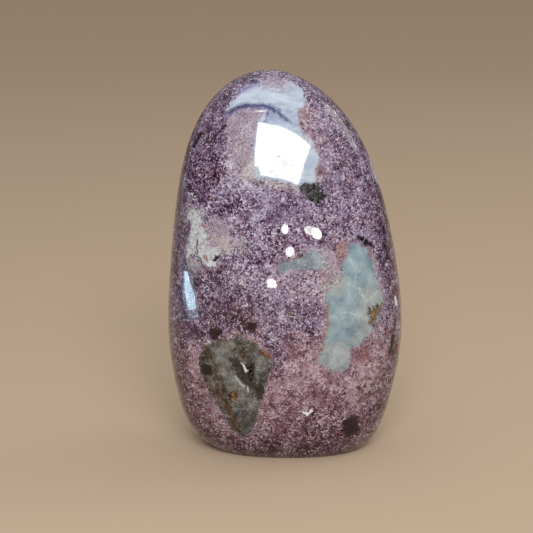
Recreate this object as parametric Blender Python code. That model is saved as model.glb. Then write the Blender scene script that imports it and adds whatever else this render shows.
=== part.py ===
# Lepidolite freeform: one polished, egg-shaped stone that stands on a small flat ground into its foot.
# Metres, +Z up. The front faces -Y. The origin is the middle of the stone's box, at the level of the flat.
# The stone starts as a ball. Its rings are drawn out to the widths and depths of a row of stations,
# its foot is ground flat, the rim of the flat is rounded, and one small open pit is cut in the front.

from math import cos, pi

import bmesh
import bpy
import numpy as np
from mathutils import Euler, Vector, noise
from mathutils.bvhtree import BVHTree

MM = 0.001

# The ball that the stone is drawn from
HEIGHT = 125 * MM
SEGMENTS = 72
RINGS = 40
FOOT_RING = 5  # the flat cuts the ball at this ring, counted from its lowest point

# Stations up the ball, from its lowest point at -1 to its top at 1.
# A reach is the half size that the ball has there before its own roundness takes it in.
STATIONS = (-1.0, -0.75, -0.4, 0.0, 0.4, 0.75, 1.0)
WIDTH_REACH = np.array((73.5, 50.5, 41.5, 37.3, 36.0, 37.0, 36.5)) * MM
DEPTH_REACH = np.array((40.0, 30.0, 26.0, 24.5, 23.0, 22.0, 20.5)) * MM
LEAN_RIGHT = np.array((3.0, 0.4, 0.4, 0.0, -1.4, -3.3, -5.0)) * MM
LEAN_BACK = np.array((0.0, 0.0, 0.0, 0.0, 0.3, 0.8, 1.2)) * MM

SQUARENESS = 2.2  # 2 would make every level section a plain ellipse
GRINDING_WAVES = 2.4  # slow swells left by hand grinding, across the ball
GRINDING_DEPTH = 0.006  # of the reach

FOOT_ROUND = 0.9 * MM
FOOT_ROUND_STEPS = 3
FLAT_TOLERANCE = 0.01 * MM
FACING_DOWN = -0.99  # a face whose normal points up by less than this belongs to the flat
SHARP_ANGLE = 0.6  # radians between two faces: only a sharper edge than this is drawn as one

# The open pit in the smoky quartz: where it lies on the front, and its own size
PIT_X = -11.0 * MM
PIT_Z = 32.0 * MM
PIT_WIDTH = 2.2 * MM
PIT_LENGTH = 6.4 * MM
PIT_DEPTH = 1.1 * MM
PIT_LEAN = 0.16
PIT_SEGMENTS = 16
PIT_RINGS = 12

STONE_COLOUR = (0.24, 0.17, 0.21, 1.0)
STONE_ROUGHNESS = 0.18


def clear_scene():
    """Removes whatever the startup file holds."""
    for thing in list(bpy.data.objects):
        bpy.data.objects.remove(thing)


def new_collection(name):
    collection = bpy.data.collections.new(name)
    bpy.context.scene.collection.children.link(collection)
    return collection


def smooth_curve(values):
    """One smooth curve through a value at every station."""
    return np.polynomial.Polynomial.fit(STATIONS, values, len(STATIONS) - 1)


def stone_point(ball_point, reach, foot_level):
    """Where a point of the unit ball lies on the stone. Below the foot's ring everything is ground flat."""
    level = ball_point.z
    across = Vector((ball_point.x, ball_point.y))
    swell = 1 + GRINDING_DEPTH * noise.noise(ball_point * GRINDING_WAVES)
    if across.length > 0:
        turn = across.normalized()
        square = (abs(turn.x) ** SQUARENESS + abs(turn.y) ** SQUARENESS) ** (-1 / SQUARENESS)
        across *= square * swell
    half_height = HEIGHT / (1 - foot_level)
    return Vector(
        (
            reach["lean_right"](level) + reach["width"](level) * across.x,
            reach["lean_back"](level) + reach["depth"](level) * across.y,
            max(half_height * (level - foot_level), 0.0),
        )
    )


def round_foot(bm):
    """Rounds the rim of the flat, which is the ring of edges between it and the flanks."""
    on_flat = {v for v in bm.verts if v.co.z < FLAT_TOLERANCE}
    rim = []
    for edge in bm.edges:
        meets_flank = any(face.normal.z > FACING_DOWN for face in edge.link_faces)
        if meets_flank and set(edge.verts) <= on_flat:
            rim.append(edge)
    bmesh.ops.bevel(
        bm,
        geom=rim,
        offset=FOOT_ROUND,
        segments=FOOT_ROUND_STEPS,
        profile=0.5,
        affect="EDGES",
        clamp_overlap=True,
    )


def stone_mesh():
    """The whole stone as one closed surface, standing at the origin."""
    reach = {
        "width": smooth_curve(WIDTH_REACH),
        "depth": smooth_curve(DEPTH_REACH),
        "lean_right": smooth_curve(LEAN_RIGHT),
        "lean_back": smooth_curve(LEAN_BACK),
    }
    foot_level = -cos(pi * FOOT_RING / RINGS)
    bm = bmesh.new()
    bmesh.ops.create_uvsphere(bm, u_segments=SEGMENTS, v_segments=RINGS, radius=1.0)
    for vert in bm.verts:
        vert.co = stone_point(vert.co.copy(), reach, foot_level)
    bm.normal_update()
    round_foot(bm)
    low = [min(v.co[axis] for v in bm.verts) for axis in (0, 1)]
    high = [max(v.co[axis] for v in bm.verts) for axis in (0, 1)]
    middle = Vector(((low[0] + high[0]) / 2, (low[1] + high[1]) / 2, 0))
    bmesh.ops.translate(bm, verts=bm.verts, vec=-middle)
    mesh = bpy.data.meshes.new("lepidolite_stone")
    bm.to_mesh(mesh)
    bm.free()
    mesh.shade_smooth()
    mesh.set_sharp_from_angle(angle=SHARP_ANGLE)
    return mesh


def polished_stone_material():
    """The stone's mean lilac, with a high polish."""
    material = bpy.data.materials.new("polished_lepidolite")
    material.use_nodes = True
    shader = material.node_tree.nodes["Principled BSDF"]
    shader.inputs["Base Color"].default_value = STONE_COLOUR
    shader.inputs["Roughness"].default_value = STONE_ROUGHNESS
    shader.inputs["Metallic"].default_value = 0.0
    material.diffuse_color = STONE_COLOUR
    return material


def front_of(mesh, x, z):
    """The point of the front that lies at this x and z, and the way the surface faces there."""
    bm = bmesh.new()
    bm.from_mesh(mesh)
    point, normal, _, _ = BVHTree.FromBMesh(bm).ray_cast(Vector((x, -1, z)), Vector((0, 1, 0)))
    bm.free()
    return point, normal


def pit_cutter(mesh, collection):
    """A long, lens-shaped cutter set into the front to the pit's depth."""
    point, normal = front_of(mesh, PIT_X, PIT_Z)
    bm = bmesh.new()
    bmesh.ops.create_uvsphere(bm, u_segments=PIT_SEGMENTS, v_segments=PIT_RINGS, radius=0.5)
    bmesh.ops.scale(bm, verts=bm.verts, vec=(PIT_WIDTH, 2 * PIT_DEPTH, PIT_LENGTH))
    cutter_mesh = bpy.data.meshes.new("pit_cutter")
    bm.to_mesh(cutter_mesh)
    bm.free()
    cutter = bpy.data.objects.new("pit_cutter", cutter_mesh)
    facing = Vector((0, -1, 0)).rotation_difference(normal).to_matrix()
    cutter.location = point
    cutter.rotation_euler = (facing @ Euler((0, PIT_LEAN, 0)).to_matrix()).to_euler()
    cutter.hide_render = True
    cutter.display_type = "WIRE"
    collection.objects.link(cutter)
    return cutter


def build():
    clear_scene()
    parts = new_collection("lepidolite_freeform")
    cutters = new_collection("cutters")
    stone = bpy.data.objects.new("lepidolite_stone", stone_mesh())
    stone.data.materials.append(polished_stone_material())
    parts.objects.link(stone)
    cut = stone.modifiers.new("open_pit", "BOOLEAN")
    cut.operation = "DIFFERENCE"
    cut.solver = "EXACT"
    cut.object = pit_cutter(stone.data, cutters)


build()
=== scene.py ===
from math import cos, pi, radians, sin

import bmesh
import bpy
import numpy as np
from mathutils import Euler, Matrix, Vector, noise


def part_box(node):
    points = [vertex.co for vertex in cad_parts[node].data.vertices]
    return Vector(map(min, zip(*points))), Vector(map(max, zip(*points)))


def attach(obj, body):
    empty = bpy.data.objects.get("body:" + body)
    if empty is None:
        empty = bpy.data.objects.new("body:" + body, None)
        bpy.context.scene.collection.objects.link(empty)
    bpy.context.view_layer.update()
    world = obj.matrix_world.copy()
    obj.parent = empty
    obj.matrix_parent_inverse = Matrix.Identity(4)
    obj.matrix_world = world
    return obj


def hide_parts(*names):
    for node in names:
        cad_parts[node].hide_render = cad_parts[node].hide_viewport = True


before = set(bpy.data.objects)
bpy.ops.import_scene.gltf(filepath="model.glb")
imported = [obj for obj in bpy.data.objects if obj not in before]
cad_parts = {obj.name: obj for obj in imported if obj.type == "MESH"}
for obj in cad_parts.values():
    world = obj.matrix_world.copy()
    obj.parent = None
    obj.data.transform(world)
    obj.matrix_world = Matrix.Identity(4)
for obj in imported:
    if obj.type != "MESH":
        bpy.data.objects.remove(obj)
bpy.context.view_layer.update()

# The looks of a lepidolite freeform: one polished stone on a pale floor.
# The stone is the same drawn-out ball as the solid, with a fine mesh. Every marking is painted by distance:
# an outline, line or spot is given where a camera sees it, and each point of the stone keeps how far it lies
# from the nearest one of its kind. The material turns those distances into patches with ragged edges.

MM = 0.001

# The stone, as in its solid
HEIGHT = 125 * MM
RINGS = 40
FOOT_RING = 5
FOOT_LEVEL = -cos(pi * FOOT_RING / RINGS)  # where the flat cuts the ball
STATIONS = (-1.0, -0.75, -0.4, 0.0, 0.4, 0.75, 1.0)
WIDTH_REACH = np.array((73.5, 50.5, 41.5, 37.3, 36.0, 37.0, 36.5)) * MM
DEPTH_REACH = np.array((40.0, 30.0, 26.0, 24.5, 23.0, 22.0, 20.5)) * MM
LEAN_RIGHT = np.array((3.0, 0.4, 0.4, 0.0, -1.4, -3.3, -5.0)) * MM
LEAN_BACK = np.array((0.0, 0.0, 0.0, 0.0, 0.3, 0.8, 1.2)) * MM
SQUARENESS = 2.2
GRINDING_WAVES = 2.4
GRINDING_DEPTH = 0.006
FOOT_ROUND = 0.8 * MM  # a smooth curve, where the solid has facets
PIT_X = -11.0 * MM
PIT_Z = 32.0 * MM
PIT_WIDTH = 2.2 * MM
PIT_LENGTH = 6.4 * MM
PIT_DEPTH = 1.1 * MM
PIT_LEAN = 0.16
PIT_FACING = -0.3  # the pit sinks only what faces the front by more than this
DIVISIONS = 128  # of each side of the cube that becomes the ball
NO_LENGTH = 1e-6  # a point this near to the ball's axis has no direction

# The camera, at the photograph's viewing angle. A place on the stone is given in pixels of its frame.
FRAME_PX = 533
FOCAL_PX = 1376
EYE_DISTANCE = 0.45
EYE_ELEVATION = radians(13)
NEAREST_SEEN = 0.01
AIM = Vector((-6.05 * MM, 0, 61.2 * MM))
PX = 0.31 * MM  # one pixel on the front of the stone
FAR = 30.0  # millimetres: no marking of the kind is near
PAST_EDGE = 0.05  # how far a normal may point away from the view that marks it
DOT = 0.01  # pixels: a spot is a line of this length

FRONT, RIGHT, BACK, LEFT = 0, 90, 180, 270


def area(*corners, view=FRONT):
    return {"view": view, "kind": "area", "points": corners}


def line(width, *points, view=FRONT):
    return {"view": view, "kind": "line", "points": points, "width": width}


def spot(x, y, radius, view=FRONT):
    return {"view": view, "kind": "line", "points": ((x, y), (x, y + DOT)), "width": 2 * radius}


# Where the markings are, by kind. Places and widths are in pixels of the view that faces them, the front
# where no other is named.
LENS = ((279, 265), (282, 262), (295, 260), (307, 253), (315, 249), (320, 255), (323, 263), (317, 270),
        (303, 269), (288, 270), (283, 274), (280, 270))
MARKINGS = {
    # Darker mica in places, and painted shade along the left, right and top rims and over the underside near
    # the floor
    "dark_mica_and_rim_shade": (
        area((184, 190), (186, 160), (195, 135), (208, 112), (222, 92), (236, 78), (250, 72), (252, 80),
             (240, 86), (232, 98), (226, 120), (222, 150), (222, 175), (205, 200), (195, 205)),
        area((250, 72), (264, 69), (286, 72), (305, 80), (325, 94), (340, 110), (334, 116), (318, 102),
             (304, 92), (296, 82), (280, 76), (262, 76), (252, 79)),
        area((306, 386), (328, 384), (338, 396), (334, 408), (318, 402), (306, 396)),
        area((374, 382), (389, 376), (388, 404), (376, 402)),
        area((186, 392), (204, 396), (209, 408), (194, 411)),
        area((172, 262), (200, 266), (226, 270), (232, 290), (240, 308), (262, 330), (236, 330), (205, 342),
             (188, 345), (186, 370), (176, 372), (170, 330)),
        area((296, 312), (318, 306), (320, 325), (312, 340), (298, 338)),
        area((330, 104), (346, 118), (359, 140), (369, 165), (376, 195), (362, 200), (354, 170), (343, 140),
             (327, 118)),
        area((205, 205), (228, 206), (226, 217), (207, 216)),
        area((222, 80), (240, 76), (240, 86), (226, 98), (214, 100)),
        area((186, 130), (204, 116), (208, 128), (198, 158), (186, 160)),
        area((276, 334), (296, 336), (296, 352), (278, 350)),
        area((286, 406), (318, 406), (320, 420), (288, 422)),
        area((374, 200), (385, 215), (398, 270), (398, 300), (390, 304), (384, 284), (378, 250)),
        area((398, 336), (398, 360), (392, 384), (386, 376), (392, 350)),
        area((286, 197), (300, 198), (298, 210), (286, 208)),
        area((311, 226), (324, 228), (324, 246), (311, 246)),
        area((260, 212), (276, 214), (274, 226), (262, 222)),
        area((262, 418), (270, 420), (266, 434), (258, 434)),
        area((326, 420), (340, 422), (338, 434), (326, 430)),
        area((172, 214), (190, 222), (191, 246), (190, 268), (172, 268)),
        area((366, 402), (388, 388), (388, 412), (374, 430)),
        area((200, 425), (240, 445), (280, 436), (300, 425), (330, 428), (360, 412), (372, 418), (350, 462),
             (280, 470), (225, 462)),
        area((262, 335), (282, 345), (280, 378), (268, 372)),
        area((180, 375), (188, 385), (198, 412), (218, 436), (242, 450), (238, 464), (204, 448), (180, 412)),
        area((190, 140), (240, 100), (300, 110), (320, 180), (270, 230), (210, 240), view=BACK),
        area((300, 260), (390, 220), (400, 330), (350, 380), (310, 330), view=BACK),
        area((190, 400), (280, 420), (370, 400), (350, 462), (220, 462), view=BACK),
        area((240, 120), (290, 140), (300, 220), (260, 260), (235, 200), view=LEFT),
        area((250, 330), (300, 310), (310, 400), (260, 420), view=LEFT),
        area((235, 200), (300, 190), (310, 300), (280, 340), (240, 300), view=RIGHT),
    ),
    "pale_zone": (
        area((234, 122), (258, 108), (258, 150), (254, 180), (276, 190), (270, 200), (244, 204), (232, 185),
             (230, 150)),
        area((207, 226), (236, 222), (240, 240), (232, 256), (214, 258), (207, 240)),
        area((326, 248), (335, 238), (346, 244), (346, 262), (340, 274), (326, 285), (300, 288), (296, 284),
             (298, 276), (318, 272)),
        area((286, 276), (310, 270), (316, 290), (308, 306), (290, 302)),
        area((352, 352), (366, 330), (380, 326), (388, 345), (384, 368), (372, 384), (370, 404), (342, 406),
             (340, 378), (350, 372)),
        area((262, 380), (278, 372), (292, 362), (316, 358), (330, 372), (350, 372), (340, 384), (306, 384),
             (296, 394), (264, 392)),
        area((188, 350), (198, 350), (203, 384), (197, 392), (188, 375)),
        area((220, 280), (280, 260), (300, 320), (260, 370), (210, 340), view=BACK),
        area((320, 140), (350, 170), (360, 230), (330, 240), view=BACK),
        area((230, 230), (270, 250), (280, 310), (240, 320), view=LEFT),
        area((260, 120), (290, 150), (280, 190), (255, 180), view=RIGHT),
    ),
    "pink_zone": (
        area((283, 345), (300, 330), (322, 345), (322, 365), (345, 375), (375, 340), (384, 330), (388, 350),
             (375, 400), (345, 405), (300, 405), (280, 430), (262, 415), (272, 385), (284, 370)),
        area((188, 345), (198, 345), (203, 380), (220, 415), (232, 432), (215, 432), (196, 405), (186, 375)),
        area((322, 245), (346, 240), (346, 262), (326, 300), (318, 300), (320, 270)),
        area((300, 105), (312, 112), (326, 132), (334, 160), (330, 186), (316, 180), (318, 160), (306, 138),
             (300, 120)),
        area((200, 330), (260, 310), (290, 380), (240, 420), (200, 390), view=BACK),
        area((320, 370), (380, 350), (370, 420), (320, 430), view=BACK),
        area((240, 360), (290, 380), (290, 430), (240, 430), view=LEFT),
        area((240, 340), (290, 330), (300, 410), (250, 420), view=RIGHT),
    ),
    "violet_zone": (
        area((244, 190), (262, 186), (290, 192), (312, 200), (312, 222), (290, 232), (262, 222), (244, 208)),
        area((318, 146), (330, 150), (338, 180), (330, 196), (318, 184)),
        area((230, 200), (290, 190), (310, 230), (260, 250), view=BACK),
    ),
    "quartz": (
        area((226, 111), (233, 102), (242, 92), (252, 87), (262, 82), (280, 81), (292, 82), (301, 89),
             (305, 101), (304, 108), (299, 111), (298, 117), (300, 125), (304, 133), (312, 140), (316, 149),
             (320, 160), (316, 169), (316, 177), (319, 181), (309, 184), (298, 186), (274, 180), (252, 177),
             (253, 150), (257, 122), (265, 111), (255, 106), (240, 106), (230, 110)),
        area((214, 168), (232, 150), (258, 141), (280, 150), (289, 166), (283, 186), (262, 196), (247, 214),
             (229, 222), (217, 208), (220, 190), view=BACK),
    ),
    "pink": (
        area((227, 115), (235, 111), (250, 108), (264, 112), (256, 122), (252, 150), (250, 177), (236, 180),
             (233, 160), (227, 146)),
        area((207, 221), (221, 219), (230, 226), (230, 238), (220, 246), (210, 244), (207, 234)),
        area((259, 85), (266, 78), (284, 78), (290, 84), (282, 89), (266, 90)),
        area((314, 246), (324, 248), (335, 256), (343, 266), (340, 278), (328, 288), (322, 282), (330, 270),
             (322, 258)),
        area((196, 330), (226, 318), (252, 336), (246, 372), (218, 392), (196, 372), view=BACK),
    ),
    "indigo": (
        line(4.0, (229, 113), (234, 109), (245, 105.5), (262, 105.5), (269, 107), (276, 111)),
        line(2.6, (276, 111), (283, 117)),
        line(2.0, (283, 117), (291, 123)),
        line(1.8, (269, 109), (265, 121)),
        line(1.2, (270, 104), (280, 110)),
        line(2.4, (217, 208), (240, 196), (266, 182), (284, 178), view=BACK),
    ),
    "black": (
        area((299, 189), (302, 183), (311, 184), (320, 183), (322, 191), (329, 195), (326, 198), (318, 205),
             (312, 202), (302, 194)),
        line(1.2, (196, 250), (198, 257), (202, 262)),
        spot(218, 252, 1.0),
        spot(278, 156, 0.8),
        spot(235, 81, 2.5),
        spot(289, 314, 1.6),
        spot(338, 385, 1.5),
        spot(360, 388, 1.5),
        spot(372, 385, 1.6),
        area((330, 150), (341, 148), (347, 157), (342, 168), (331, 166), view=BACK),
        spot(262, 262, 2.4, view=BACK),
    ),
    "feldspar": (
        area((187, 212), (194, 208), (201, 211), (202, 216), (200, 221), (206, 223), (204, 231), (208, 234),
             (208, 243), (211, 247), (218, 250), (221, 256), (216, 266), (207, 267), (199, 260), (194, 254),
             (188, 257), (187, 248), (190, 233), (193, 223), (189, 221)),
        area((330, 252), (339, 253), (346, 244), (352, 256), (359, 262), (353, 274), (357, 287), (347, 291),
             (343, 306), (335, 297), (332, 286), (322, 280), (327, 268), view=BACK),
        area((249, 182), (255, 172), (262, 174), (268, 167), (276, 179), (273, 188), (279, 198), (268, 203),
             (263, 212), (255, 205), (248, 196), view=RIGHT),
    ),
    "blue_green": (
        area((350, 243), (356, 245), (364, 247), (368, 253), (371, 260), (373, 268), (376, 279), (379, 289),
             (384, 298), (383, 304), (380, 313), (374, 326), (369, 333), (360, 345), (351, 349), (350, 358),
             (348, 367), (341, 371), (332, 371), (327, 367), (316, 361), (321, 354), (323, 345), (325, 336),
             (326, 328), (330, 325), (328, 316), (327, 304), (327, 292), (343, 281), (342, 271), (344, 262),
             (348, 254)),
        area(*LENS),
        area((290, 332), (298, 322), (312, 316), (320, 325), (331, 329), (328, 342), (337, 353), (330, 367),
             (321, 372), (320, 387), (306, 400), (297, 393), (284, 390), (286, 374), (277, 361), (284, 346),
             view=BACK),
    ),
    "smoky": (
        area((238, 333), (244, 338), (256, 343), (263, 352), (271, 355), (275, 362), (268, 374), (267, 383),
             (264, 394), (258, 409), (258, 417), (253, 430), (244, 438), (238, 435), (232, 431), (226, 419),
             (219, 408), (216, 400), (210, 394), (206, 382), (200, 374), (199, 362), (202, 350), (203, 346),
             (212, 342), (225, 339), (236, 337)),
        area((222, 250), (230, 239), (243, 242), (250, 237), (260, 251), (251, 262), (255, 277), (244, 281),
             (238, 294), (229, 284), (219, 283), (214, 266), view=BACK),
    ),
    "smoky_pale": (
        area((213, 348), (225, 342), (236, 343), (235, 351), (229, 358), (231, 368), (234, 376), (226, 379),
             (217, 373), (212, 361)),
        line(3.0, (235, 377), (240, 382), (245, 388)),
        area((254, 352), (264, 356), (269, 361), (264, 372), (256, 370)),
        spot(244, 340, 2),
        area((224, 378), (234, 378), (248, 392), (244, 404), (234, 400), (226, 390)),
        area((204, 376), (210, 376), (218, 388), (214, 391), (207, 384)),
        area((247, 399), (255, 398), (260, 403), (255, 410), (248, 409)),
    ),
    "smoky_dark": (
        area((229, 359), (236, 355), (244, 366), (250, 382), (246, 384), (238, 376)),
        area((246, 357), (252, 358), (254, 372), (252, 384), (247, 383)),
        area((203, 349), (209, 350), (213, 360), (204, 359)),
        area((212, 392), (222, 402), (232, 424), (240, 433), (241, 424), (233, 411), (226, 400), (217, 390)),
        area((255, 386), (261, 383), (266, 389), (262, 398), (257, 396)),
        area((232, 252), (244, 256), (242, 276), (230, 270), view=BACK),
    ),
    "smoky_brown": (
        line(4.0, (205, 348), (210, 356), (215, 371), (221, 386), (228, 396)),
        line(3.4, (236, 352), (248, 357)),
        line(2.4, (242, 347), (246, 356), (252, 366)),
        line(8, (206, 380), (216, 392), (226, 406), (237, 426)),
        line(3, (258, 348), (266, 356), (270, 364)),
    ),
    "milky": (
        area((322, 346), (345, 340), (352, 350), (349, 366), (340, 371), (318, 362)),
        area((360, 292), (376, 282), (384, 300), (374, 326), (360, 345), (352, 342), (356, 318)),
        area((328, 280), (343, 276), (346, 290), (334, 298)),
        area((290, 372), (318, 366), (318, 384), (300, 398), (284, 388), view=BACK),
    ),
    "grey_blue": (
        area(*LENS),
    ),
    "cream": (
        area((246, 160), (253, 154), (256, 164), (256, 178), (249, 182), (242, 178)),
        area((211, 235), (226, 237), (233, 246), (226, 253), (214, 246)),
        line(3.4, (257, 180), (264, 182), (277, 184), (297, 189)),
        line(1.6, (371, 252), (374, 262), (375, 270)),
        line(3, (262, 198), (247, 216), (229, 224), view=BACK),
    ),
    "rust": (
        spot(204, 226, 1.6),
        spot(206, 258, 2.0),
        spot(207, 246, 1.2),
        line(1.8, (263, 352), (270, 357)),
        line(1.4, (327, 326), (324, 336)),
        area((300, 342), (306, 340), (308, 348), (302, 352), view=BACK),
        spot(342, 276, 2.0, view=BACK),
    ),
    "mixed": (
        area((320, 286), (330, 276), (343, 270), (346, 284), (336, 296), (327, 300), (322, 296)),
        area((312, 252), (320, 250), (328, 258), (330, 268), (320, 272), (313, 266)),
        area((188, 258), (196, 258), (203, 265), (196, 270), (188, 267)),
        area((235, 240), (243, 238), (246, 250), (239, 256)),
        area((284, 320), (296, 312), (308, 320), (298, 332), (286, 334), view=BACK),
    ),
    "olive": (
        area((368, 309), (377, 305), (384, 302), (382, 311), (377, 317), (373, 327), (370, 324)),
        area((228, 393), (236, 391), (239, 400), (234, 405), (229, 401)),
        line(2.6, (235, 350), (241, 354), (246, 360)),
        line(2.2, (284, 261), (294, 258.5), (302, 255)),
        line(1.8, (248, 180), (255, 182), (263, 183)),
        spot(369, 396, 3.0),
        spot(289, 314, 2.2),
    ),
    "blue_veil": (
        area((228, 116), (232, 108), (244, 103), (262, 103), (274, 107), (287, 118), (284, 122), (268, 112),
             (250, 108), (238, 110)),
        area((266, 110), (280, 114), (284, 121), (266, 121)),
        line(4, (237, 93), (246, 88), (257, 85)),
        line(1.6, (266, 138), (270, 146), (265, 156)),
        line(1.6, (278, 146), (286, 142), (292, 147)),
        area((217, 208), (240, 194), (266, 180), (284, 176), (270, 190), (240, 204), view=BACK),
    ),
    "glint": (
        line(1.2, (241.5, 363), (244, 366)),
        line(1.4, (244.5, 368), (246, 372), (249, 370)),
        line(1.0, (247.5, 387), (248, 392)),
        line(2.2, (303, 412.5), (309, 413.5)),
        line(2.0, (307, 415), (312, 410)),
        line(1.6, (395, 296), (396.5, 305)),
        line(1.2, (255, 111), (266, 111)),
        line(0.9, (386, 263), (387, 266)),
        spot(283, 200, 1.0),
        spot(300, 240, 1.2, view=BACK),
        line(1.2, (240, 300), (246, 303), view=BACK),
    ),
    "maroon": (
        area((208, 331), (216, 327), (222, 331), (221, 340), (211, 341)),
        area((246, 323), (256, 321), (258, 331), (249, 334)),
        area((344, 419), (350, 416), (358, 417), (358, 430), (353, 438), (345, 436), (342, 428)),
        area((357, 236), (365, 238), (371, 244), (364, 245)),
        area((300, 210), (308, 207), (313, 214), (309, 224), (301, 221), view=BACK),
        area((240, 410), (248, 407), (255, 414), (250, 424), (241, 421), view=BACK),
        area((268, 300), (275, 297), (280, 306), (275, 315), (268, 311), view=RIGHT),
        area((255, 350), (262, 347), (267, 355), (262, 363), (255, 360), view=LEFT),
    ),
    "raspberry": (
        area((352, 350), (362, 346), (372, 348), (371, 358), (362, 365), (353, 360)),
        area((270, 300), (281, 296), (286, 306), (276, 314), view=BACK),
    ),
    "stain": (
        area((335, 247), (338, 242), (347, 243), (347, 256), (337, 258)),
        area((298, 110), (305, 106), (308, 114), (303, 122), (299, 118)),
        line(2.0, (302, 122), (301, 130), (307, 141), (316, 150)),
        line(2.4, (319, 165), (317, 182)),
        line(1.8, (204, 345), (225, 338), (238, 332), (256, 342), (270, 354)),
        line(1.2, (266, 398), (262, 412), (258, 428)),
        line(3.4, (328, 306), (326, 328), (323, 346), (315, 360)),
        area((276, 158), (282, 156), (287, 161), (291, 168), (285, 171), (279, 166)),
        line(1.4, (272, 172), (280, 176), (288, 175)),
        spot(204, 227, 1.8),
        spot(206, 258, 1.8),
        spot(212, 198, 1.5),
        line(3, (282, 360), (290, 330), (312, 318), view=BACK),
        line(3, (289, 166), (283, 186), (262, 196), view=BACK),
    ),
    "crack": (
        line(2.0, (212, 139), (219, 132), (226, 125)),
        line(3.2, (194, 147), (197, 140), (201, 133)),
        line(1.8, (383, 226), (384, 236), (385, 246)),
        line(2.0, (387, 250), (388, 258)),
        line(1.4, (242, 318), (243, 326), (246, 333)),
        line(2.2, (395, 318), (394, 330)),
        line(3.6, (393, 336), (392, 344), (390, 352)),
        line(1.8, (358, 236), (366, 239), (372, 246)),
        line(1.6, (304, 219), (301, 224)),
        spot(271, 240, 1.8),
        area((200, 366), (206, 363), (213, 369), (211, 375), (202, 375)),
        spot(203, 359, 1.6),
        area((212, 261), (215, 257), (214, 254), (217, 256), (222, 254), (219, 257), (222, 259), (218, 259),
             (216, 262)),
        line(1.0, (222, 212), (223, 221)),
        line(1.0, (198, 234), (197, 244), (197, 252)),
        line(1.4, (236, 110), (250, 122), (258, 134), view=BACK),
        line(1.4, (340, 330), (350, 352), (352, 378), view=BACK),
        line(1.4, (262, 190), (257, 214), (260, 232), view=LEFT),
    ),
    "vein": (
        line(1.2, (347, 283), (354, 286), (360, 289)),
        line(2.0, (360, 289), (362, 296), (366, 302), (372, 297), (378, 291)),
        line(1.2, (330, 318), (345, 312), (362, 316)),
        line(1.0, (350, 258), (356, 272), (355, 284)),
        line(2.2, (235, 377), (240, 383), (244, 387)),
        line(1.2, (286, 350), (304, 352), (326, 344), view=BACK),
    ),
}


def photo_places(points, view):
    """Where the photograph's camera, turned round the stone to a view, sees each point, in pixels."""
    turn = radians(view)
    points = points - np.array(AIM)
    across = points[:, 0] * cos(turn) + points[:, 1] * sin(turn)
    ahead = points[:, 1] * cos(turn) - points[:, 0] * sin(turn)
    depth = EYE_DISTANCE + ahead * cos(EYE_ELEVATION) - points[:, 2] * sin(EYE_ELEVATION)
    up = points[:, 2] * cos(EYE_ELEVATION) + ahead * sin(EYE_ELEVATION)
    middle = FRAME_PX / 2
    return np.stack([middle + FOCAL_PX * across / depth, middle - FOCAL_PX * up / depth], axis=1)


def faces_view(normals, view):
    turn = radians(view)
    return normals[:, 1] * cos(turn) - normals[:, 0] * sin(turn) < PAST_EDGE


def distance_to_line(places, corners):
    """The distance from each place to a run of straight pieces."""
    nearest = np.full(len(places), np.inf)
    for start, end in zip(corners[:-1], corners[1:]):
        start, end = np.array(start, float), np.array(end, float)
        along = end - start
        share = np.clip((places - start) @ along / (along @ along), 0, 1)
        nearest = np.minimum(nearest, np.linalg.norm(places - start - share[:, None] * along, axis=1))
    return nearest


def inside_outline(places, corners):
    """Whether each place lies inside a closed outline, by counting the sides to its right."""
    inside = np.zeros(len(places), bool)
    for (x1, y1), (x2, y2) in zip(corners, corners[1:] + corners[:1]):
        if y1 == y2:
            continue
        crosses = (places[:, 1] < y1) != (places[:, 1] < y2)
        at = x1 + (places[:, 1] - y1) * (x2 - x1) / (y2 - y1)
        inside ^= crosses & (places[:, 0] < at)
    return inside


def marking_distance(points, normals, markings):
    """Millimetres from each point to the nearest of these markings, negative inside one."""
    nearest = np.full(len(points), FAR)
    for mark in markings:
        places = photo_places(points, mark["view"])
        if mark["kind"] == "area":
            closed = mark["points"] + mark["points"][:1]
            found = distance_to_line(places, closed)
            found = np.where(inside_outline(places, mark["points"]), -found, found)
        else:
            found = distance_to_line(places, mark["points"]) - mark["width"] / 2
        found = np.where(faces_view(normals, mark["view"]), found * PX / MM, FAR)
        nearest = np.minimum(nearest, found)
    return nearest


# The stone's mesh


def new_object(name, data):
    made = bpy.data.objects.new(name, data)
    bpy.context.scene.collection.objects.link(made)
    return made


def smooth_curve(values):
    """One smooth curve through a value at every station."""
    return np.polynomial.Polynomial.fit(STATIONS, values, len(STATIONS) - 1)


def ball_points(mesh):
    """The mesh's points, as an array, drawn onto the unit ball with even spacing."""
    found = np.empty(len(mesh.vertices) * 3)
    mesh.vertices.foreach_get("co", found)
    found = np.tan(found.reshape(-1, 3) * (pi / 4))
    return found / np.linalg.norm(found, axis=1, keepdims=True)


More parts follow.
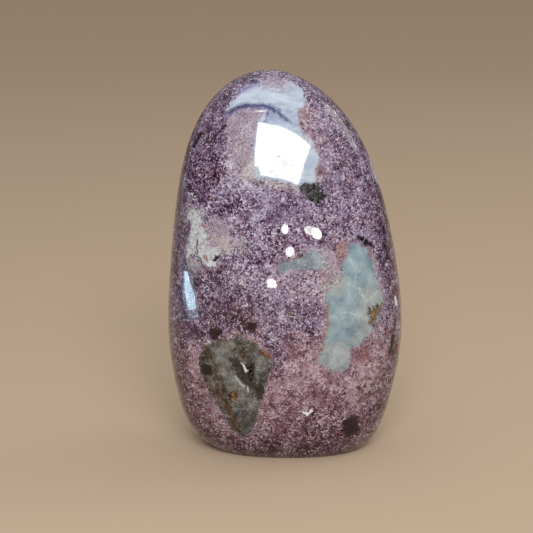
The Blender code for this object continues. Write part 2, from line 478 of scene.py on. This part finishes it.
def stone_points(ball):
    """Where points of the unit ball lie on the stone, with the foot ground flat and its rim rounded."""
    level = ball[:, 2]
    across = ball[:, :2].copy()
    length = np.linalg.norm(across, axis=1, keepdims=True)
    turn = np.where(length > NO_LENGTH, np.abs(across) / np.maximum(length, NO_LENGTH), (1.0, 0.0))
    square = (turn**SQUARENESS).sum(axis=1) ** (-1 / SQUARENESS)
    swell = np.array([noise.noise(Vector(point) * GRINDING_WAVES) for point in ball])
    across *= (square * (1 + GRINDING_DEPTH * swell))[:, None]
    x = smooth_curve(LEAN_RIGHT)(level) + smooth_curve(WIDTH_REACH)(level) * across[:, 0]
    y = smooth_curve(LEAN_BACK)(level) + smooth_curve(DEPTH_REACH)(level) * across[:, 1]
    z = HEIGHT / (1 - FOOT_LEVEL) * (level - FOOT_LEVEL)
    rounding = (z + FOOT_ROUND) ** 2 / (4 * FOOT_ROUND)
    z = np.where(z > FOOT_ROUND, z, np.where(z < -FOOT_ROUND, 0, rounding))
    points = np.stack([x, y, z], axis=1)
    points[:, :2] -= (points[:, :2].min(axis=0) + points[:, :2].max(axis=0)) / 2
    return points


def fit_to_solid(points, box):
    """Brings the points' box, a few hundredths of a millimetre off at most, to the solid's."""
    low, high = points.min(axis=0), points.max(axis=0)
    box_low, box_high = np.array(box[0]), np.array(box[1])
    return box_low + (points - low) * (box_high - box_low) / (high - low)


def press_pit(points, normals):
    """Sinks the small open pit into the front. Returns how deep each point lies in it, from 0 to 1."""
    facing = normals[:, 1] < PIT_FACING
    right = points[:, 0] - PIT_X
    up = points[:, 2] - PIT_Z
    along = up * cos(PIT_LEAN) + right * sin(PIT_LEAN)
    side = right * cos(PIT_LEAN) - up * sin(PIT_LEAN)
    reach = (2 * along / PIT_LENGTH) ** 2 + (2 * side / PIT_WIDTH) ** 2
    share = np.where(facing, np.sqrt(np.clip(1 - reach, 0, 1)), 0)
    points -= normals * (share * PIT_DEPTH)[:, None]
    return share


def vertex_normals(mesh):
    found = np.empty(len(mesh.vertices) * 3)
    mesh.vertices.foreach_get("normal", found)
    return found.reshape(-1, 3)


def keep(mesh, name, values):
    """Stores a value of each point under a name that the material reads."""
    kept = mesh.attributes.new(name, "FLOAT", "POINT")
    kept.data.foreach_set("value", np.asarray(values, np.float32))


def stone_piece(box):
    """The stone as a fine mesh that holds its distance to every kind of marking."""
    bm = bmesh.new()
    bmesh.ops.create_cube(bm, size=2.0)
    bmesh.ops.subdivide_edges(bm, edges=bm.edges, cuts=DIVISIONS - 1, use_grid_fill=True)
    mesh = bpy.data.meshes.new("stone")
    bm.to_mesh(mesh)
    bm.free()
    points = fit_to_solid(stone_points(ball_points(mesh)), box)
    mesh.vertices.foreach_set("co", points.ravel())
    mesh.update()
    normals = vertex_normals(mesh)
    for name, markings in MARKINGS.items():
        keep(mesh, name, marking_distance(points, normals, markings))
    keep(mesh, "pit", press_pit(points, normals))
    mesh.vertices.foreach_set("co", points.ravel())
    mesh.update()
    mesh.shade_smooth()
    return new_object("stone", mesh)


# The patterns that the minerals share. Sizes are millimetres.
PATTERN_START = (61.3, 47.7, 33.1)  # so that the planes where the noises line up miss the stone
MIDDLE = 0.5  # of a noise's values and of each part of a random colour
LACUNARITY = 2.13  # how much finer every next step of a noise is
WANDER_SIZE = 1.3
WANDER_REACH = 0.7
GRAIN_SIZE = 0.34
FLAKE_SIZE = 0.48
FLAKE_STRETCH = (1.0, 0.35, 1.0)
BOOK_SIZE = 2.2
TUFT_SIZE = 1.6
CLUMP_SIZE = 3.6
DRIFT_SIZE = 9.0
REGION_SIZE = 26.0
JITTER_SIZE = 2.2
LIVELY_SIZE = 5.0
SPECK_SIZE = 1.5
TINY_PIT_SIZE = 0.8
VEIL_STRETCH = (0.35, 1.0, 1.0)

# The mica's brightness: its mean, and how much the faint and the strong sparkles are drawn apart
MEAN_TONE = 0.53
FAINT_SPARKLE = 0.65
STRONG_SPARKLE = 1.4

# The polish, and the flakes below it
POLISH_ROUGHNESS = 0.03
POLISH_IOR = 1.5
FLAKE_TILT = 0.35
FLAKE_SHEEN = 0.06
FLAKE_ROUGHNESS = 0.40

# Colours as they are seen, from 0 to 255 on a screen
STUDIO_GAIN = (1.33, 1.25, 1.20)  # how much brighter than its own colour the light shows the stone's front
PLUM_CRYSTAL = (44, 20, 36)
BLUE_CRYSTAL = (36, 34, 54)
WHITE_GLINT = (236, 230, 240)
FELDSPAR_SPECK = (130, 84, 88)
WHITE_THREAD = (190, 202, 204)
PALE_GRAIN = (196, 204, 206)

# The minerals' tones: where in its pattern each lies, from 0 to 1, and its colour
PINK_MICA = ((0.05, (30, 2, 12)), (0.28, (84, 35, 57)), (0.5, (130, 96, 107)), (0.72, (166, 134, 144)),
             (1.0, (212, 188, 198)))
VIOLET_MICA = ((0.05, (26, 2, 28)), (0.28, (80, 40, 80)), (0.5, (128, 107, 134)), (0.72, (164, 149, 172)),
               (1.0, (207, 198, 214)))
PALE_PINK = ((0.15, (116, 92, 108)), (0.5, (162, 143, 158)), (0.85, (202, 188, 200)))
MIXED_GRAINS = ((0.2, (112, 104, 106)), (0.5, (156, 146, 148)), (0.8, (204, 204, 204)))
CREAM = ((0.2, (166, 150, 148)), (0.8, (216, 206, 200)))
WHITE_QUARTZ = ((0.3, (152, 160, 180)), (0.5, (189, 198, 214)), (0.72, (211, 217, 227)))
FELDSPAR = ((0.3, (132, 116, 124)), (0.43, (194, 194, 200)), (0.64, (222, 226, 230)))
BLUE_GREEN = ((0.3, (106, 133, 147)), (0.5, (141, 163, 172)), (0.7, (168, 185, 192)))
MILKY_BLUE_GREEN = ((0.3, (142, 151, 152)), (0.5, (166, 171, 171)), (0.7, (192, 196, 196)))
GREY_LENS = ((0.32, (108, 118, 127)), (0.68, (171, 176, 183)))
SMOKY = ((0.25, (24, 18, 18)), (0.5, (78, 74, 71)), (0.78, (148, 150, 148)))
SMOKY_PALE = ((0.34, (88, 82, 78)), (0.5, (122, 119, 115)), (0.66, (152, 152, 149)))
SMOKY_DARK = ((0.3, (16, 10, 10)), (0.8, (74, 64, 60)))
SMOKY_BROWN = ((0.3, (32, 18, 12)), (0.5, (84, 60, 44)), (0.74, (140, 108, 80)))
# The open pit's dark grains, with the painted shade of its hollow
PIT_GRAINS_AND_SHADE = ((0.3, (16, 12, 12)), (1.0, (92, 80, 74)))

# The small markings, from the lowest layer up
TONED_MARKINGS = (  # kind, pattern that the tones follow, ragged, soft, most, tones
    ("stain", "flakes", 1.6, 0.8, 0.55, ((0.1, (116, 78, 62)), (0.9, (178, 138, 118)))),
    ("olive", "chips", 1.4, 0.5, 0.9, ((0.25, (34, 14, 2)), (0.55, (118, 78, 32)), (0.9, (166, 136, 92)))),
    ("rust", "flakes", 1.0, 0.6, 0.8, ((0.1, (96, 46, 26)), (0.9, (190, 104, 64)))),
    ("raspberry", "flakes", 1.8, 0.8, 0.7, ((0.1, (92, 38, 48)), (0.9, (156, 96, 102)))),
    ("maroon", "chips", 1.4, 0.5, 1.0, ((0.2, (4, 0, 4)), (0.8, (50, 0, 32)))),
    ("black", "flakes", 1.0, 0.3, 1.0, ((0.3, (14, 14, 14)), (1.0, (98, 96, 96)))),
    ("blue_veil", "clumps", 0.8, 1.0, 0.6, ((0.3, (96, 96, 150)), (0.7, (140, 144, 190)))),
    ("indigo", "clumps", 0.6, 0.5, 0.92, ((0.3, (36, 34, 74)), (0.7, (74, 72, 126)))),
)
PLAIN_MARKINGS = (  # kind, ragged, soft, most, colour
    ("vein", 0.5, 0.3, 0.7, (202, 208, 200)),
    ("glint", 0.2, 0.25, 1.0, (255, 255, 255)),
    ("crack", 0.4, 0.3, 1.0, (20, 10, 20)),
)


def seen(colour):
    """The stone's own colour that the studio's light shows as this one, by the screen's standard curve."""
    linear = [((part / 255 + 0.055) / 1.055) ** 2.4 for part in colour]
    return (*(part / gain for part, gain in zip(linear, STUDIO_GAIN)), 1.0)


class Painter:
    """Adds nodes to one material. Every pattern's size is in millimetres of stone."""

    def __init__(self, material):
        material.use_nodes = True
        self.tree = material.node_tree
        self.shader = self.tree.nodes["Principled BSDF"]
        metres = self.node("ShaderNodeTexCoord").outputs["Object"]
        millimetres = self.vector("SCALE", metres, Scale=1 / MM)
        self.height = self.node("ShaderNodeSeparateXYZ", {0: millimetres}).outputs["Z"]
        self.place = self.vector("ADD", millimetres, PATTERN_START)

    def feed(self, socket, value):
        if isinstance(value, bpy.types.NodeSocket):
            self.tree.links.new(value, socket)
        else:
            socket.default_value = value

    def node(self, kind, inputs=None, **settings):
        made = self.tree.nodes.new(kind)
        for name, value in settings.items():
            setattr(made, name, value)
        for socket, value in (inputs or {}).items():
            self.feed(made.inputs[socket], value)
        return made

    def vector(self, operation, first, second=None, Scale=None):
        inputs = {0: first}
        if second is not None:
            inputs[1] = second
        if Scale is not None:
            inputs["Scale"] = Scale
        return self.node("ShaderNodeVectorMath", inputs, operation=operation).outputs["Vector"]

    def math(self, operation, first, second=0.0):
        return self.node("ShaderNodeMath", {0: first, 1: second}, operation=operation).outputs[0]

    def spread(self, value, low, high, to_low=0.0, to_high=1.0):
        """A smooth step from to_low to to_high as the value goes from low to high."""
        inputs = {"Value": value, "From Min": low, "From Max": high, "To Min": to_low, "To Max": to_high}
        return self.node("ShaderNodeMapRange", inputs, interpolation_type="SMOOTHSTEP").outputs["Result"]

    def blend(self, share, under, over):
        made = self.node("ShaderNodeMix", data_type="RGBA")
        for index, value in ((0, share), (6, under), (7, over)):
            self.feed(made.inputs[index], value)
        return made.outputs[2]

    def ramp(self, value, tones):
        made = self.node("ShaderNodeValToRGB", {"Fac": value})
        stops = made.color_ramp.elements
        while len(stops) < len(tones):
            stops.new(MIDDLE)
        for stop, (at, colour) in zip(stops, tones):
            stop.position = at
            stop.color = seen(colour)
        return made.outputs["Color"]

    def cloud(self, size, detail=2.0, roughness=0.5, place=None, warp=0.0, output="Fac"):
        """Soft noise round its middle value."""
        inputs = {
            "Vector": self.place if place is None else place,
            "Scale": 1 / size,
            "Detail": detail,
            "Roughness": roughness,
            "Lacunarity": LACUNARITY,
            "Distortion": warp,
        }
        return self.node("ShaderNodeTexNoise", inputs).outputs[output]

    def cells(self, size, place):
        """Crystal-like cells, each with a random colour."""
        return self.node("ShaderNodeTexVoronoi", {"Vector": place, "Scale": 1 / size}).outputs

    def parts(self, colour):
        """The three parts of a random colour."""
        return self.node("ShaderNodeSeparateColor", {"Color": colour}).outputs

    def field(self, name):
        """A value that each point of the mesh keeps."""
        return self.node("ShaderNodeAttribute", attribute_name=name).outputs["Fac"]


class StonePaint(Painter):
    """The stone's patterns that several minerals share."""

    def __init__(self, material):
        super().__init__(material)
        wander = self.centred(self.cloud(WANDER_SIZE, output="Color"), WANDER_REACH)
        self.warped = self.vector("ADD", self.place, wander)
        books = self.cells(BOOK_SIZE, self.warped)["Color"]
        self.grain_colours = self.cells(GRAIN_SIZE, self.warped)["Color"]
        self.flake_colours = self.cells(FLAKE_SIZE, self.combed(books))["Color"]
        self.books = self.parts(books)
        self.grains = self.parts(self.grain_colours)
        self.flakes = self.parts(self.flake_colours)
        self.tufts = self.cloud(TUFT_SIZE, detail=4.0, roughness=0.7, warp=0.3)
        self.clumps = self.cloud(CLUMP_SIZE, detail=3.0, roughness=0.6)
        self.drift = self.cloud(DRIFT_SIZE, detail=3.0, roughness=0.55)
        self.regions = self.cloud(REGION_SIZE)
        slow = self.scaled(self.cloud(JITTER_SIZE, detail=3.0, roughness=0.65), 2.0)
        self.jitter = self.math("ADD", slow, self.scaled(self.flakes[1], 0.8))

    def combed(self, books):
        """The place, turned another way in every book of mica and drawn out along its flakes."""
        turn = self.vector("SCALE", books, Scale=2 * pi)
        inputs = {"Vector": self.warped, "Rotation": turn}
        turned = self.node("ShaderNodeVectorRotate", inputs, rotation_type="EULER_XYZ").outputs["Vector"]
        return self.vector("MULTIPLY", turned, FLAKE_STRETCH)

    def centred(self, colour, amount):
        """A random colour as a vector round zero, of this strength."""
        return self.vector("SCALE", self.vector("SUBTRACT", colour, (MIDDLE,) * 3), Scale=amount)

    def scaled(self, value, amount):
        """A pattern as one round zero, of this strength."""
        return self.math("MULTIPLY", self.math("SUBTRACT", value, MIDDLE), amount)

    def total(self, first, *others):
        for other in others:
            first = self.math("ADD", first, other)
        return first

    def inside(self, kind, ragged=1.0, soft=0.35, grow=0.0, most=1.0):
        """The share of a kind of marking: most inside it and 0 outside, with a ragged edge."""
        distance = self.math("ADD", self.field(kind), self.math("MULTIPLY", self.jitter, ragged))
        return self.spread(distance, grow + soft, grow - soft, 0.0, most)

    def cover(self, under, kind, over, **edge):
        """The colour under a kind of marking, with the marking's own colour laid over it."""
        return self.blend(self.inside(kind, **edge), under, over)


def mica(paint):
    """Small flakes of lilac mica, pinker low down and greyer and more violet higher up, with painted shade
    along the rims and underside.
    """
    sparkle = paint.total(
        paint.scaled(paint.grains[0], 0.58),
        paint.scaled(paint.flakes[0], 0.62),
        paint.scaled(paint.tufts, 0.60),
    )
    strength = paint.math("MULTIPLY", paint.math("ABSOLUTE", sparkle), STRONG_SPARKLE)
    sparkle = paint.math("MULTIPLY", sparkle, paint.total(strength, FAINT_SPARKLE))
    lively = paint.spread(paint.cloud(LIVELY_SIZE), 0.35, 0.65, 0.62, 1.18)
    lively = paint.math("SUBTRACT", lively, paint.inside("pink_zone", ragged=2.5, soft=2.0, most=0.38))
    lively = paint.math("SUBTRACT", lively, paint.inside("violet_zone", ragged=2.5, soft=2.5, most=0.25))
    tone = paint.total(
        paint.math("MULTIPLY", sparkle, lively),
        paint.scaled(paint.books[0], 0.20),
        paint.scaled(paint.clumps, 0.66),
        paint.scaled(paint.drift, 0.48),
        paint.inside("pale_zone", ragged=2.5, soft=2.5, most=0.15),
        paint.inside("pink_zone", ragged=2.5, soft=2.0, most=0.05),
        MEAN_TONE,
    )
    # Darker where the mica is dark, and painted shade along the rims and low down
    tone = paint.math("SUBTRACT", tone, paint.inside("dark_mica_and_rim_shade", ragged=3.0, soft=2.2, most=0.20))
    violet = paint.total(
        paint.spread(paint.height, 18.0, 58.0, 0.10, 0.85),
        paint.scaled(paint.regions, 0.9),
        paint.scaled(paint.drift, 1.2),
        paint.scaled(paint.flakes[2], 0.4),
        paint.scaled(paint.books[2], 0.6),
        paint.inside("violet_zone", ragged=2.5, soft=2.5, most=0.5),
    )
    violet = paint.math("SUBTRACT", violet, paint.inside("pink_zone", ragged=2.5, soft=2.5, most=0.6))
    return paint.blend(violet, paint.ramp(tone, PINK_MICA), paint.ramp(tone, VIOLET_MICA))


def specks(paint, under):
    """Dark crystals and white glints scattered among the flakes."""
    crystals = paint.cells(SPECK_SIZE, paint.warped)
    chances = paint.parts(crystals["Color"])
    chosen = paint.spread(chances[0], 0.10, 0.07, to_high=0.8)
    reach = paint.total(crystals["Distance"], paint.scaled(paint.grains[1], 0.5))
    core = paint.spread(reach, 0.5, 0.3)
    dark = paint.blend(chances[1], seen(PLUM_CRYSTAL), seen(BLUE_CRYSTAL))
    colour = paint.blend(paint.math("MULTIPLY", chosen, core), under, dark)
    glints = paint.spread(paint.grains[2], 0.96, 1.0, to_high=0.7)
    return paint.blend(glints, colour, seen(WHITE_GLINT))


def white_quartz(paint, under):
    """Milky quartz with blue-grey veils."""
    sweep = paint.vector("MULTIPLY", paint.place, VEIL_STRETCH)
    veil = paint.cloud(3.4, detail=6.0, roughness=0.65, place=sweep, warp=0.8)
    return paint.cover(under, "quartz", paint.ramp(veil, WHITE_QUARTZ), ragged=0.9, soft=0.5)


def pink_ground(paint, under):
    """Fine pale grains: pink ones, also in a faint halo round every inclusion, mixed ones and cream ones."""
    grains = paint.scaled(paint.grains[1], 0.6)
    tone = paint.total(grains, paint.scaled(paint.clumps, 0.7), MIDDLE)
    zone = paint.inside("pink", ragged=1.6, soft=1.2, most=0.85)
    halo = paint.inside("blue_green", ragged=2.4, soft=1.2, grow=1.0, most=0.5)
    for kind in ("smoky", "feldspar"):
        halo = paint.math("MAXIMUM", halo, paint.inside(kind, ragged=2.4, soft=1.2, grow=0.7, most=0.4))
    colour = paint.blend(paint.math("MAXIMUM", zone, halo), under, paint.ramp(tone, PALE_PINK))
    colour = paint.cover(colour, "mixed", paint.ramp(tone, MIXED_GRAINS), ragged=1.8, soft=0.8, most=0.85)
    return paint.cover(colour, "cream", paint.ramp(tone, CREAM), ragged=1.6, soft=1.6, most=0.7)


def feldspar(paint, under):
    """Off-white feldspar with fine grey grain and pink specks."""
    grain = paint.cloud(1.3, detail=4.0, roughness=0.7)
    speck = paint.spread(paint.flakes[2], 0.86, 0.92, to_high=0.6)
    colour = paint.blend(speck, paint.ramp(grain, FELDSPAR), seen(FELDSPAR_SPECK))
    return paint.cover(under, "feldspar", colour, ragged=1.1)


def blue_green_quartz(paint, under):
    """Cloudy blue-green quartz with milky stretches, the grey-blue lens, white threads and pale grains."""
    clouds = paint.cloud(5.0, detail=5.0, roughness=0.55, warp=0.3)
    colour = paint.ramp(clouds, BLUE_GREEN)
    milky = paint.ramp(clouds, MILKY_BLUE_GREEN)
    colour = paint.cover(colour, "milky", milky, ragged=2.5, soft=1.6, most=0.85)
    grain = paint.total(clouds, paint.scaled(paint.flakes[1], 0.18))
    colour = paint.cover(colour, "grey_blue", paint.ramp(grain, GREY_LENS), soft=0.6, most=0.85)
    threads = paint.math("ABSOLUTE", paint.math("SUBTRACT", paint.cloud(3.2, warp=0.4), MIDDLE))
    colour = paint.blend(paint.spread(threads, 0.012, 0.0, to_high=0.55), colour, seen(WHITE_THREAD))
    grains = paint.spread(paint.grains[1], 0.80, 1.0, to_high=0.26)
    colour = paint.blend(grains, colour, seen(PALE_GRAIN))
    return paint.cover(under, "blue_green", colour, ragged=0.9)


def smoky_quartz(paint, under):
    """Grey smoky quartz, partly granular, with pale, brown and black stretches."""
    clouds = paint.cloud(2.2, detail=5.0, roughness=0.7, warp=0.4)
    chips = paint.scaled(paint.flakes[1], 0.18)
    tone = paint.total(clouds, chips, paint.scaled(paint.grains[0], 0.18))
    colour = paint.ramp(tone, SMOKY)
    pale = paint.ramp(paint.total(clouds, paint.scaled(paint.grains[0], 0.14)), SMOKY_PALE)
    colour = paint.cover(colour, "smoky_pale", pale, soft=0.5, most=0.9)
    colour = paint.cover(colour, "smoky_dark", paint.ramp(tone, SMOKY_DARK), soft=0.4, most=0.9)
    brown = paint.ramp(tone, SMOKY_BROWN)
    colour = paint.cover(colour, "smoky_brown", brown, ragged=1.3, soft=0.8, most=0.75)
    return paint.cover(under, "smoky", colour, ragged=0.6, soft=0.3)


def small_markings(paint, colour):
    """Stains, dark crystals, the indigo arc and its veil, veins, glints and cracks."""
    patterns = {"flakes": paint.flakes[0], "chips": paint.flakes[1], "clumps": paint.clumps}
    for kind, pattern, ragged, soft, most, tones in TONED_MARKINGS:
        over = paint.ramp(patterns[pattern], tones)
        colour = paint.cover(colour, kind, over, ragged=ragged, soft=soft, most=most)
    for kind, ragged, soft, most, plain in PLAIN_MARKINGS:
        colour = paint.cover(colour, kind, seen(plain), ragged=ragged, soft=soft, most=most)
    return colour


def pit_grains_and_shade(paint, under):
    """Dark grains in the open pit, with painted shade that deepens towards its deepest part."""
    depth = paint.total(paint.field("pit"), paint.scaled(paint.flakes[0], 0.6))
    shaded_grains = paint.ramp(paint.grains[0], PIT_GRAINS_AND_SHADE)
    # Painted shade in the pit's hollow: the deeper the point, the more the dark colour covers it
    return paint.blend(paint.spread(depth, 0.30, 0.70), under, shaded_grains)


def tilted_flakes(paint):
    """The stone's normal, tipped a little another way on every flake and grain below the polish."""
    normal = paint.node("ShaderNodeNewGeometry").outputs["Normal"]
    for colours in (paint.flake_colours, paint.grain_colours):
        normal = paint.vector("ADD", normal, paint.centred(colours, FLAKE_TILT))
    return paint.vector("NORMALIZE", normal)


def polish(paint):
    """The share of polish: all of it but in tiny scattered pits and in the open pit."""
    pits = paint.cells(TINY_PIT_SIZE, paint.place)
    chosen = paint.spread(paint.parts(pits["Color"])[2], 0.90, 0.94)
    near = paint.spread(pits["Distance"], 0.35, 0.15, to_high=0.95)
    whole = paint.math("SUBTRACT", 1.0, paint.math("MULTIPLY", chosen, near))
    return paint.math("MULTIPLY", whole, paint.spread(paint.field("pit"), 0.3, 0.05))


def stone_material():
    """The polished stone: its minerals' colours, faceted flakes below, and one smooth polish over all."""
    material = bpy.data.materials.new("polished_stone")
    paint = StonePaint(material)
    colour = mica(paint)
    minerals = (specks, white_quartz, pink_ground, feldspar, blue_green_quartz, smoky_quartz)
    for layer in (*minerals, small_markings, pit_grains_and_shade):
        colour = layer(paint, colour)
    sockets = paint.shader.inputs
    paint.feed(sockets["Base Color"], colour)
    paint.feed(sockets["Normal"], tilted_flakes(paint))
    paint.feed(sockets["Coat Weight"], polish(paint))
    sockets["Coat Roughness"].default_value = POLISH_ROUGHNESS
    sockets["Coat IOR"].default_value = POLISH_IOR
    sockets["Specular IOR Level"].default_value = FLAKE_SHEEN
    sockets["Roughness"].default_value = FLAKE_ROUGHNESS
    return material


# The studio. A direction from the stone is an azimuth and an elevation in degrees, and lengths are metres.
# The polish mirrors the window with a faint glow round it, a dimmer window at the left in three steps, and
# five small ceiling lamps. Two soft lamps light the stone's sides.

FLOOR_REACH = 6.0
FLOOR_COLOUR = (0.46, 0.355, 0.26, 1)
FLOOR_ROUGHNESS = 0.7
SIDE_AIR = (0.25, (0.17, 0.13, 0.10, 1))  # where in the sky's ramp, and the colour
OVERHEAD_AIR = (0.75, (0.75, 0.73, 0.71, 1))
BLACK = (0, 0, 0, 1)
WINDOW_CORNERS = ((-12.3, 43.5), (10.0, 41.6), (29.2, 33.8), (12.6, 20.2), (-14.9, 22.0))
WINDOW_DISTANCE = 1.235
WINDOW_RADIANCE = 15
WINDOW_COLOUR = (1.0, 0.99, 0.98)
WINDOW_HALO = ((-16.5, 45.0), (10.5, 43.0), (31.0, 35.5), (13.5, 18.0), (-19.0, 19.5))
DIM_COLOUR = (0.58, 0.82, 1.0)
SIDE_CORE = ((-91.0, -5.2), (-84.5, -5.0), (-70.5, -10.0), (-67.5, -14.0), (-77.5, -14.0), (-87.0, -9.5))
SIDE_TAIL = ((-92.5, -5.2), (-77.0, -4.8), (-67.0, -10.8), (-63.0, -16.6), (-76.0, -16.6), (-92.0, -10.0))
SIDE_HALO = ((-103.0, -3.2), (-74.0, -3.6), (-60.0, -17.2), (-98.0, -17.2))
DIM_PANES = (  # name, corners, distance, radiance; a brighter pane stands in front of a dimmer one
    ("side_core", SIDE_CORE, 0.190, 15),
    ("side_tail", SIDE_TAIL, 0.200, 3),
    ("side_halo", SIDE_HALO, 0.217, 0.7),
    ("window_halo", WINDOW_HALO, 1.26, 1.3),
)
LAMP_COLOUR = (1.0, 0.97, 0.92)
MIRRORED_LAMPS = (  # name, azimuth, elevation, distance, width, height, radiance
    ("lamp_1", 2.2, 9.0, 1.224, 0.065, 0.045, 20),
    ("lamp_2", 16.2, 9.0, 1.226, 0.15, 0.05, 13),
    ("lamp_3", 20.5, 8.4, 1.227, 0.14, 0.065, 26),
    ("lamp_4", 4.5, 3.7, 1.224, 0.09, 0.055, 18),
    ("lamp_5", -3.8, -5.5, 0.524, 0.055, 0.034, 18),
)
SOFT_LAMPS = (  # the same, and colour
    ("left_glow", -125, 2, 1.2, 0.20, 0.45, 0.5, (0.60, 0.76, 1.0)),
    ("right_fill", 108, 35, 1.3, 0.6, 0.6, 2.0, (1.0, 0.97, 0.94)),
)


def new_material(name):
    """A material, and the sockets of its shader."""
    material = bpy.data.materials.new(name)
    material.use_nodes = True
    return material, material.node_tree.nodes["Principled BSDF"].inputs


def floor_material():
    material, sockets = new_material("floor")
    sockets["Base Color"].default_value = FLOOR_COLOUR
    sockets["Specular IOR Level"].default_value = 0
    sockets["Roughness"].default_value = FLOOR_ROUGHNESS
    return material


def add_floor():
    bm = bmesh.new()
    bmesh.ops.create_grid(bm, x_segments=1, y_segments=1, size=FLOOR_REACH)
    mesh = bpy.data.meshes.new("floor")
    bm.to_mesh(mesh)
    bm.free()
    mesh.materials.append(floor_material())
    new_object("floor", mesh)


def add_camera():
    data = bpy.data.cameras.new("camera")
    data.angle = 2 * np.arctan(FRAME_PX / 2 / FOCAL_PX)
    data.clip_start = NEAREST_SEEN
    camera = new_object("camera", data)
    camera.location = AIM + EYE_DISTANCE * Vector((0, -cos(EYE_ELEVATION), sin(EYE_ELEVATION)))
    camera.rotation_euler = Euler((pi / 2 - EYE_ELEVATION, 0, 0))
    bpy.context.scene.camera = camera


def way_to(azimuth, elevation):
    """The direction from the stone, with azimuth 0 on the camera's side and 90 on the right."""
    turn, rise = radians(azimuth), radians(elevation)
    return Vector((sin(turn) * cos(rise), -cos(turn) * cos(rise), sin(rise)))


def add_lamp(name, azimuth, elevation, distance, width, height, radiance, colour):
    """A flat oval light that faces the stone."""
    data = bpy.data.lights.new(name, "AREA")
    data.shape = "ELLIPSE"
    data.size = width
    data.size_y = height
    data.energy = pi * width * height * radiance
    data.color = colour
    lamp = new_object(name, data)
    way = way_to(azimuth, elevation)
    lamp.location = AIM + way * distance
    lamp.rotation_euler = way.to_track_quat("Z", "Y").to_euler()
    lamp.visible_camera = False
    return lamp


def add_pane(name, corners, distance, radiance, colour):
    """A glowing pane with its corners in these directions from the stone. The camera doesn't see it."""
    mesh = bpy.data.meshes.new(name)
    mesh.from_pydata([AIM + way_to(*corner) * distance for corner in corners], [], [range(len(corners))])
    material, sockets = new_material(name)
    sockets["Base Color"].default_value = BLACK
    sockets["Emission Color"].default_value = (*colour, 1)
    sockets["Emission Strength"].default_value = radiance
    mesh.materials.append(material)
    pane = new_object(name, mesh)
    pane.visible_camera = False
    return pane


def add_world():
    """A studio that is dim brown round the sides and pale overhead."""
    world = bpy.data.worlds.new("studio")
    world.use_nodes = True
    nodes, links = world.node_tree.nodes, world.node_tree.links
    height = nodes.new("ShaderNodeSeparateXYZ")
    links.new(nodes.new("ShaderNodeTexCoord").outputs["Generated"], height.inputs[0])
    ramp = nodes.new("ShaderNodeValToRGB")
    links.new(height.outputs["Z"], ramp.inputs["Fac"])
    side, overhead = ramp.color_ramp.elements
    side.position, side.color = SIDE_AIR
    overhead.position, overhead.color = OVERHEAD_AIR
    links.new(ramp.outputs["Color"], nodes["Background"].inputs["Color"])
    bpy.context.scene.world = world


def dress_stone():
    stone = stone_piece(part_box("lepidolite_stone"))
    stone.data.materials.append(stone_material())
    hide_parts("lepidolite_stone")
    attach(stone, "root")


add_camera()
add_floor()
add_world()
add_pane("window", WINDOW_CORNERS, WINDOW_DISTANCE, WINDOW_RADIANCE, WINDOW_COLOUR)
for dim_pane in DIM_PANES:
    pane = add_pane(*dim_pane, DIM_COLOUR)
    pane.visible_diffuse = False
    pane.visible_shadow = False
for lamp in MIRRORED_LAMPS:
    add_lamp(*lamp, LAMP_COLOUR).visible_diffuse = False
for lamp in SOFT_LAMPS:
    add_lamp(*lamp)
bpy.context.scene.view_settings.view_transform = "Standard"
dress_stone()
